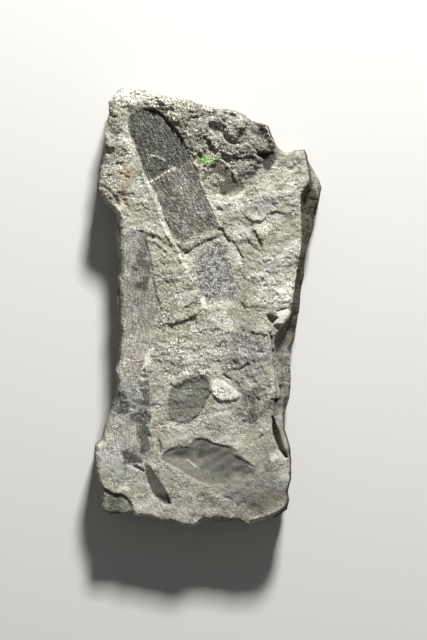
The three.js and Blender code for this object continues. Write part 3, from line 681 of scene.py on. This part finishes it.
def vein_place(x, y, at):
    """Place across and along the nearest leaf, in its own lean, with the way along shortened into streaks."""
    lean = np.where(x < -18, 0.03, 0.25)
    lean = np.where(at["striated"] > 0.3, 1.05, lean)
    lean = np.where(at["leaf"] > 0.5, 0.48, lean)
    across = np.cos(lean) * x + np.sin(lean) * y
    along = np.cos(lean) * y - np.sin(lean) * x
    return np.stack([across, along / STREAK_STRETCH, np.zeros_like(x)], -1)


rim = rim_points()
inward = inward_of(rim[:, :2])
nibble = 0.35 * np.abs(rough(rim[:, 0], rim[:, 1], 3.5, 91, 3))
brink_inset = rim[:, 2] + nibble
brink_loop = rim[:, :2] + inward * brink_inset[:, None]
face_xy = between_sides(brink_loop, FACE_COLUMNS, FACE_ROWS)
column_steps = np.minimum(np.arange(FACE_COLUMNS + 1), FACE_COLUMNS - np.arange(FACE_COLUMNS + 1))
row_steps = np.minimum(np.arange(FACE_ROWS + 1), FACE_ROWS - np.arange(FACE_ROWS + 1))
border_distance = FACE_STEP * np.minimum(column_steps[None, :], row_steps[:, None])
face_x, face_y = face_xy[..., 0], face_xy[..., 1]
face_at = regions(face_x, face_y)
rim_chips = np.clip(rough(face_x, face_y, 7, 71, 2) - 0.1, 0, 1)
rounding = 1.1 * (1 - step(border_distance, 0, 2.2)) ** 2
worn = rounding + 2.0 * rim_chips * (1 - step(border_distance, 0, 3.5))
face_z = form(face_x, face_y, face_at) + breakage(face_x, face_y, face_at) - worn
face_masks = films(face_x, face_y, face_at)


def border_of(grid):
    """The border of a grid of rows and columns as one clockwise loop from the top left."""
    return np.concatenate([grid[0, :-1], grid[:-1, -1], grid[-1, :0:-1], grid[:0:-1, 0]])


BED_THICKNESS = 2.3
BREAK_LENGTH = 17  # of one stretch of a broken bed along the rim
WIDEST_SHARE = 0.34  # of the height, where the slab reaches its outline


def flank_rows():
    """Rows of points from the brink to the back: the profile's insets, swung by bed-wise steps and noise."""
    arc = np.concatenate(([0], np.cumsum(np.hypot(*np.diff(rim[:, :2], axis=0).T))))
    top = border_of(face_z)
    share = np.linspace(1, 0, FLANK_ROWS + 1)[1:, None]
    heights, of_brink, of_back = FLANK_PROFILE[::-1].T
    z = share * top[None]
    x, y = np.broadcast_to(rim[:, 0], z.shape), np.broadcast_to(rim[:, 1], z.shape)
    inset = np.interp(share, heights, of_brink) * brink_inset
    inset = inset + np.interp(share, heights, of_back) * BACK_INSET
    layer = z / BED_THICKNESS + 0.5 * noise(x / 19, y / 19, 101)
    patch = np.floor(arc / BREAK_LENGTH + 0.6 * noise(x / 6, z / 3, 102))
    tier = hashed(np.floor(layer), patch, 103)
    swing = 0.85 * tier + 0.5 * rough(x + 3 * z, y - 2 * z, 5, 104, 3)
    swing += 0.9 * facets(arc + 0.3 * z, z, 8, 131, 1.6)
    widest = 1 - np.exp(-(((share - WIDEST_SHARE) / 0.05) ** 2))
    free = step(1 - share, 0, 0.12) * widest
    inset = np.maximum(inset + free * swing, 0)
    spot = rim[None, :, :2] + inward[None] * inset[..., None]
    return np.concatenate([spot, z[..., None]], 2)


flank = flank_rows()
flank[-1, :, 2] = 0
back_edge = flank[-1]
back_columns, back_rows = FACE_COLUMNS // BACK_STEP, FACE_ROWS // BACK_STEP
back_loop = back_edge[::BACK_STEP, :2] + 1.2 * inward_of(back_edge[::BACK_STEP, :2], 3)
back_xy = between_sides(back_loop, back_columns, back_rows)
back_z = 0.35 * np.clip(rough(back_xy[..., 0], back_xy[..., 1], 30, 111, 4) + 0.1, 0, 1)

# What the flanks and the back show where the face's films end, with painted shade along the bedding cracks
bed_wave = noise(flank[..., 0] / 16, flank[..., 1] / 16, 121)
bed_layers = noise(flank[..., 2] / 2.2 + bed_wave, flank[..., 1] / 30, 122)
bed_cracks = 1 - step(np.abs(bed_layers), 0.02, 0.16)
BROKEN_STONE = {"grain": 0.5, "bed_tone": 0.5 + 0.9 * bed_layers, "deep_shade": 0.5 * bed_cracks}


def plate_mesh():
    """Closed skin: face grid, flank rows below its border, a ring of triangles, and the coarser back grid."""
    face_points = np.concatenate([face_xy, face_z[..., None]], 2).reshape(-1, 3)
    back_points = np.concatenate([back_xy, back_z[..., None]], 2).reshape(-1, 3)
    points = np.concatenate([face_points, flank.reshape(-1, 3), back_points]) * MM
    face_ids = np.arange(len(face_points)).reshape(FACE_ROWS + 1, FACE_COLUMNS + 1)
    flank_ids = len(face_points) + np.arange(flank.shape[0] * flank.shape[1]).reshape(flank.shape[:2])
    first_back = len(face_points) + flank_ids.size
    back_ids = first_back + np.arange(len(back_points)).reshape(back_rows + 1, back_columns + 1)
    loops = np.concatenate([border_of(face_ids)[None], flank_ids])
    following = np.roll(loops, -1, 1)
    inner = border_of(back_ids)
    inner_next = np.roll(inner, -1)
    edge = loops[-1].reshape(-1, BACK_STEP)
    edge_end = np.roll(edge[:, 0], -1)
    face_quads = np.stack([face_ids[:-1, :-1], face_ids[1:, :-1], face_ids[1:, 1:], face_ids[:-1, 1:]], -1)
    flank_quads = np.stack([loops[:-1], following[:-1], following[1:], loops[1:]], -1)
    back_quads = np.stack([back_ids[:-1, :-1], back_ids[:-1, 1:], back_ids[1:, 1:], back_ids[1:, :-1]], -1)
    quads = [part.reshape(-1, 4) for part in (face_quads, flank_quads, back_quads)]
    ring = [
        np.stack([edge[:, 0], edge[:, 1], inner], -1),
        np.stack([edge[:, 1], edge[:, 2], inner], -1),
        np.stack([edge[:, 2], inner_next, inner], -1),
        np.stack([edge[:, 2], edge[:, 3], inner_next], -1),
        np.stack([edge[:, 3], edge_end, inner_next], -1),
    ]
    corners = np.concatenate([np.concatenate(quads).ravel(), np.concatenate(ring).ravel()])
    sizes = np.concatenate([np.full(sum(map(len, quads)), 4), np.full(sum(map(len, ring)), 3)])
    mesh = bpy.data.meshes.new("siltstone_plate")
    mesh.vertices.add(len(points))
    mesh.vertices.foreach_set("co", points.ravel())
    mesh.loops.add(len(corners))
    mesh.loops.foreach_set("vertex_index", corners)
    mesh.polygons.add(len(sizes))
    mesh.polygons.foreach_set("loop_start", np.concatenate(([0], np.cumsum(sizes)[:-1])))
    mesh.polygons.foreach_set("use_smooth", np.ones(len(sizes), bool))
    mesh.update(calc_edges=True)
    mesh.validate()
    back_count = len(back_points)
    fade = np.clip(1 - np.arange(1, flank.shape[0] + 1) / 4, 0, 1)
    for name, mask in face_masks.items():
        elsewhere = BROKEN_STONE.get(name, 0)
        below = fade[:, None] * (border_of(mask) - elsewhere) + elsewhere
        below = np.concatenate([below.ravel(), np.full(back_count, np.mean(elsewhere))])
        values = np.concatenate([mask.ravel(), below])
        mesh.attributes.new(name, "FLOAT", "POINT").data.foreach_set("value", values.astype(np.float32))
    streaks = np.zeros((len(points), 3), np.float32)
    streaks[: len(face_points)] = vein_place(face_x, face_y, face_at).reshape(-1, 3) * MM
    mesh.attributes.new("vein_place", "FLOAT_VECTOR", "POINT").data.foreach_set("vector", streaks.ravel())
    # Dark olive colour: painted shade on the flanks that face east, away from the lamp, on the right shoulder
    # and in the hollows, which lie in shadow. It is lifted on a flank facet that faces the lamp and on a
    # lighter stretch of the right flank; a smaller even share darkens the other flanks and the back.
    eastward = step(-inward[:, 0], 0.1, 0.8)
    lit_facet = oval_patch(flank[..., 0], flank[..., 1], (46.5, 58), (2.6, 10), 8)
    lighter = oval_patch(flank[..., 0], flank[..., 1], (33, -28), (7, 24), 0)
    flank_olive_and_shade = (0.35 + 0.65 * eastward) * (1 - 0.7 * lit_facet) * (1 - 0.5 * lighter)
    face_painted_shade = np.maximum(0.35 * face_at["shoulder"], 0.9 * face_at["hollow"])
    olive_and_shade_share = np.concatenate([face_painted_shade.ravel(), flank_olive_and_shade.ravel(), np.full(back_count, 0.4)])
    olive_and_painted_shade = mesh.attributes.new("olive_and_painted_shade", "FLOAT", "POINT")
    olive_and_painted_shade.data.foreach_set("value", olive_and_shade_share.astype(np.float32))
    return mesh


def linear(colour):
    """An sRGB hex colour as linear red, green, blue and full alpha."""
    parts = np.array([int(colour[k : k + 2], 16) for k in (1, 3, 5)]) / 255
    light = np.where(parts <= 0.04045, parts / 12.92, ((parts + 0.055) / 1.055) ** 2.4)
    return (*light.tolist(), 1.0)


def add_node(tree, kind, settings=None, **inputs):
    """A shader node with its settings, and its inputs set to values or linked from other nodes' sockets."""
    node = tree.nodes.new(kind)
    for name, value in (settings or {}).items():
        setattr(node, name, value)
    for name, value in inputs.items():
        socket = node.inputs[int(name[1:])] if name[1:].isdigit() else node.inputs[name.replace("_", " ")]
        if isinstance(value, bpy.types.NodeSocket):
            tree.links.new(value, socket)
        else:
            socket.default_value = value
    return node


# Silt grains and leaf veins are finer than 0.1 mm; both are drawn coarser here, so that they show.
BLOTCH_SIZE = 14
SPECKLE_SIZE = 0.75
GRIT_SIZE = 0.45
VEIN_SPACING = 0.7
CHIP_SIZE = 1.3


def siltstone():
    """Split siltstone, broken, never polished: matt, grey with an olive cast, silt grains and dark films."""
    material = bpy.data.materials.new("split_siltstone")
    material.use_nodes = True
    tree = material.node_tree
    shader = tree.nodes["Principled BSDF"]
    place = add_node(tree, "ShaderNodeTexCoord").outputs["Object"]

    def mask(name):
        return add_node(tree, "ShaderNodeAttribute", {"attribute_name": name}).outputs["Fac"]

    def mixed(share, under, over, blend="MIX"):
        settings = {"data_type": "RGBA", "blend_type": blend}
        return add_node(tree, "ShaderNodeMix", settings, _0=share, _6=under, _7=over).outputs[2]

    def grains(vector, millimetres, detail, roughness):
        scale = 1 / (millimetres * MM)
        node = add_node(tree, "ShaderNodeTexNoise", None, Vector=vector, Scale=scale, Detail=detail,
                        Roughness=roughness)
        return node.outputs["Fac"]

    def ranged(value, low, high, to_low, to_high):
        node = add_node(tree, "ShaderNodeMapRange", None, _0=value, _1=low, _2=high, _3=to_low, _4=to_high)
        return node.outputs[0]

    blotches = grains(place, BLOTCH_SIZE, 3, 0.6)
    speckle = grains(place, SPECKLE_SIZE, 2, 0.8)
    grit = grains(place, GRIT_SIZE, 0, 0.5)
    along_leaf = add_node(tree, "ShaderNodeAttribute", {"attribute_name": "vein_place"}).outputs["Vector"]
    streaks = grains(along_leaf, VEIN_SPACING, 1, 0.6)
    colour = mixed(mask("bed_tone"), linear("#9b9a8a"), linear("#bbbaae"))
    colour = mixed(ranged(blotches, 0.4, 0.7, 0, 0.25), colour, linear("#b5aa9a"))
    # Dark olive: painted shade on east-facing flanks, the right shoulder and the hollows; a smaller even
    # share darkens the other flanks and the back.
    colour = mixed(mask("olive_and_painted_shade"), colour, linear("#575345"))
    colour = mixed(mask("iron_stain"), colour, linear("#a08d76"))
    colour = mixed(mask("clay_film"), colour, linear("#9c9b97"))
    colour = mixed(mask("carbon_film"), colour, linear("#56564e"))
    # Pale fresh breaks, partly painted highlight on edges and slopes that face the lamp.
    colour = mixed(mask("fresh_break_and_highlight"), colour, linear("#dcdacc"))
    colour = mixed(mask("paint_dab"), colour, linear("#7fa05c"))
    # Painted shade in cracks, hairlines, the slot, the hollows and the flanks' bedding cracks.
    colour = mixed(mask("deep_shade"), colour, linear("#3d392d"))
    grain = mask("grain")
    veins = mask("veins")
    colour = mixed(grain, colour, ranged(speckle, 0.36, 0.64, 0.35, 1.65), "MULTIPLY")
    colour = mixed(grain, colour, ranged(grit, 0.36, 0.64, 0.45, 1.55), "MULTIPLY")
    colour = mixed(veins, colour, ranged(streaks, 0.36, 0.64, 0.5, 1.5), "MULTIPLY")
    tree.links.new(colour, shader.inputs["Base Color"])
    shader.inputs["Roughness"].default_value = 0.9
    shader.inputs["IOR"].default_value = 1.5
    shader.inputs["Specular IOR Level"].default_value = 0.25
    vein_bump = add_node(tree, "ShaderNodeBump", None, Strength=veins, Distance=0.16 * MM, Height=streaks)
    cell_scale = 1 / (CHIP_SIZE * MM)
    cells = add_node(tree, "ShaderNodeTexVoronoi", {"distance": "MANHATTAN"}, Vector=place, Scale=cell_scale)
    chip_bump = add_node(tree, "ShaderNodeBump", None, Strength=grain, Distance=0.35 * MM,
                         Height=cells.outputs["Distance"], Normal=vein_bump.outputs[0])
    fine_bump = add_node(tree, "ShaderNodeBump", None, Strength=grain, Distance=0.2 * MM,
                         Height=speckle, Normal=chip_bump.outputs[0])
    tree.links.new(fine_bump.outputs[0], shader.inputs["Normal"])
    return material


plate = bpy.data.objects.new("siltstone_plate", plate_mesh())
plate.data.materials.append(siltstone())
bpy.context.scene.collection.objects.link(plate)
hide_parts("plate")
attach(plate, "root")

# Floor, light and camera
# A plain pale floor, one soft studio lamp from the far side and a little to the right, and an even fill.
# The camera looks straight down, as over a copy stand.
FLOOR_HALF = 3.0  # metres
floor_corners = FLOOR_HALF * np.array([(-1, -1, 0), (1, -1, 0), (1, 1, 0), (-1, 1, 0)])
floor_mesh = bpy.data.meshes.new("floor")
floor_mesh.from_pydata(floor_corners.tolist(), [], [(0, 1, 2, 3)])
floor = bpy.data.objects.new("floor", floor_mesh)
floor_paper = bpy.data.materials.new("pale_paper")
floor_paper.use_nodes = True
floor_paper.node_tree.nodes["Principled BSDF"].inputs["Base Color"].default_value = linear("#d6d5d1")
floor_paper.node_tree.nodes["Principled BSDF"].inputs["Roughness"].default_value = 0.9
floor_mesh.materials.append(floor_paper)
bpy.context.scene.collection.objects.link(floor)

LAMP_DISTANCE = 1.1  # metres
LAMP_WIDTH = 0.16  # metres
LAMP_WATTS = 21
LAMP_HEIGHT = np.radians(38)
LAMP_EAST_OF_NORTH = np.radians(12)
lamp_data = bpy.data.lights.new("studio_lamp", "AREA")
lamp_data.energy = LAMP_WATTS
lamp_data.size = LAMP_WIDTH
lamp = bpy.data.objects.new("studio_lamp", lamp_data)
lamp.location = LAMP_DISTANCE * np.array([
    np.cos(LAMP_HEIGHT) * np.sin(LAMP_EAST_OF_NORTH),
    np.cos(LAMP_HEIGHT) * np.cos(LAMP_EAST_OF_NORTH),
    np.sin(LAMP_HEIGHT),
])
lamp.rotation_euler = (np.pi / 2 - LAMP_HEIGHT, 0, np.pi - LAMP_EAST_OF_NORTH)
bpy.context.scene.collection.objects.link(lamp)

FILL_STRENGTH = 0.12
world = bpy.data.worlds.new("even_fill")
world.use_nodes = True
world.node_tree.nodes["Background"].inputs["Color"].default_value = (1, 1, 1, 1)
world.node_tree.nodes["Background"].inputs["Strength"].default_value = FILL_STRENGTH
bpy.context.scene.world = world
bpy.context.scene.view_settings.view_transform = "Standard"

CAMERA_DISTANCE = 900.0  # from the face
VIEW_LENGTH = 276.5  # along the picture's long side, at the face
VIEW_CENTRE = (2.1, -5.4)
camera_data = bpy.data.cameras.new("copy_stand_camera")
camera_data.sensor_fit = "AUTO"
camera_data.sensor_width = 36
camera_data.lens = camera_data.sensor_width * CAMERA_DISTANCE / VIEW_LENGTH
camera = bpy.data.objects.new("copy_stand_camera", camera_data)
camera.location = (VIEW_CENTRE[0] * MM, VIEW_CENTRE[1] * MM, (FACE_LEVEL + CAMERA_DISTANCE) * MM)
bpy.context.scene.collection.objects.link(camera)
bpy.context.scene.camera = camera
